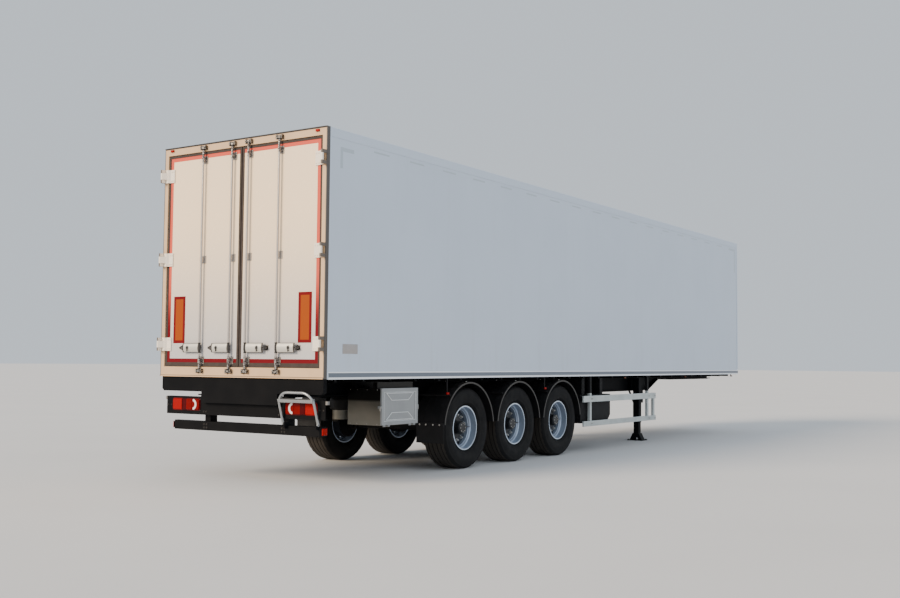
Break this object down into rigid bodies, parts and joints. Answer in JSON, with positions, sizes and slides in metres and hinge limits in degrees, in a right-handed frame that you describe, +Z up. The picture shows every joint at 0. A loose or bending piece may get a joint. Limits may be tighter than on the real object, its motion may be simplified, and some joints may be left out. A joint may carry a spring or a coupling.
{
  "type": "box-body semi-trailer",
  "caption": "Three-axle insulated box semi-trailer with swinging rear doors, locking rods, side guards, landing legs, toolbox and rear folding step.",
  "frame": {"origin": "on the ground under the middle of the trailer's bounding box", "axes": "+X forward to the king pin, +Y to the trailer's left, +Z up"},
  "size_m": [13.738, 2.6, 4],
  "materials": {
    "panel_white": "smooth",
    "floor_grey": "satin",
    "trim_aluminium": "satin",
    "portal_paint": "satin",
    "door_white": "smooth",
    "seal_rubber": "matte",
    "rod_steel": "galvanised",
    "board_red": "reflective",
    "chassis_black": "satin",
    "axle_black": "matte",
    "bellows_rubber": "matte",
    "guard_plastic": "matte",
    "guard_aluminium": "extruded",
    "stainless": "polished",
    "toolbox_steel": "satin",
    "lamp_red": "glossy",
    "galvanised": "galvanised",
    "rim_silver": "satin",
    "tyre_rubber": "matte"
  },
  "bodies": {
    "root": {"side_walls": "panel_white", "front_wall": "panel_white", "roof_panel": "panel_white", "floor_panel": "floor_grey", "edge_profiles": "trim_aluminium", "rear_portal": "portal_paint", "portal_fittings": "portal_paint", "main_beams": "chassis_black", "cross_members": "chassis_black", "coupling_plate": "chassis_black", "coupling_panel": "chassis_black", "axles": "axle_black", "suspension_arms": "axle_black", "air_springs": "bellows_rubber", "mudguards": "guard_plastic", "side_guards": "guard_aluminium", "landing_legs": "chassis_black", "air_tanks": "axle_black", "stowage_box": "guard_plastic", "toolbox": "stainless", "lamp_bar": "chassis_black", "lamps": "lamp_red", "underrun_bar": "chassis_black"},
    "door_right": {"door_leaf_right": "door_white", "door_seal_right": "seal_rubber", "door_hardware_right": "rod_steel", "marker_board_right": "board_red"},
    "door_left": {"door_leaf_left": "door_white", "door_seal_left": "seal_rubber", "door_hardware_left": "rod_steel", "marker_board_left": "board_red"},
    "toolbox_door": {"toolbox_door": "toolbox_steel"},
    "folding_step": {"folding_step": "galvanised"},
    "wheel_1_right": {"wheel_1_right_rim": "rim_silver", "wheel_1_right_tyre": "tyre_rubber"},
    "wheel_1_left": {"wheel_1_left_rim": "rim_silver", "wheel_1_left_tyre": "tyre_rubber"},
    "wheel_2_right": {"wheel_2_right_rim": "rim_silver", "wheel_2_right_tyre": "tyre_rubber"},
    "wheel_2_left": {"wheel_2_left_rim": "rim_silver", "wheel_2_left_tyre": "tyre_rubber"},
    "wheel_3_right": {"wheel_3_right_rim": "rim_silver", "wheel_3_right_tyre": "tyre_rubber"},
    "wheel_3_left": {"wheel_3_left_rim": "rim_silver", "wheel_3_left_tyre": "tyre_rubber"}
  },
  "joints": [
    {"name": "door_right_hinge", "type": "hinge", "parent": "root", "child": "door_right", "pos_m": [-6.853, -1.282, 2.62], "axis": [0, 0, 1], "range_deg": [0, 270]},
    {"name": "door_left_hinge", "type": "hinge", "parent": "root", "child": "door_left", "pos_m": [-6.853, 1.282, 2.62], "axis": [0, 0, -1], "range_deg": [0, 270]},
    {"name": "toolbox_door_hinge", "type": "hinge", "parent": "root", "child": "toolbox_door", "pos_m": [-5.3435, -1.261, 0.642], "axis": [1, 0, 0], "range_deg": [0, 110]},
    {"name": "folding_step_hinge", "type": "hinge", "parent": "root", "child": "folding_step", "pos_m": [-6.711, -0.905, 0.7], "axis": [0, -1, 0], "range_deg": [0, 145]},
    {"name": "wheel_1_right_spin", "type": "hinge", "parent": "root", "child": "wheel_1_right", "pos_m": [-3.741, -1.02, 0.5355], "axis": [0, 1, 0], "continuous": true},
    {"name": "wheel_1_left_spin", "type": "hinge", "parent": "root", "child": "wheel_1_left", "pos_m": [-3.741, 1.02, 0.5355], "axis": [0, 1, 0], "continuous": true},
    {"name": "wheel_2_right_spin", "type": "hinge", "parent": "root", "child": "wheel_2_right", "pos_m": [-2.431, -1.02, 0.5355], "axis": [0, 1, 0], "continuous": true},
    {"name": "wheel_2_left_spin", "type": "hinge", "parent": "root", "child": "wheel_2_left", "pos_m": [-2.431, 1.02, 0.5355], "axis": [0, 1, 0], "continuous": true},
    {"name": "wheel_3_right_spin", "type": "hinge", "parent": "root", "child": "wheel_3_right", "pos_m": [-1.121, -1.02, 0.5355], "axis": [0, 1, 0], "continuous": true},
    {"name": "wheel_3_left_spin", "type": "hinge", "parent": "root", "child": "wheel_3_left", "pos_m": [-1.121, 1.02, 0.5355], "axis": [0, 1, 0], "continuous": true}
  ]
}
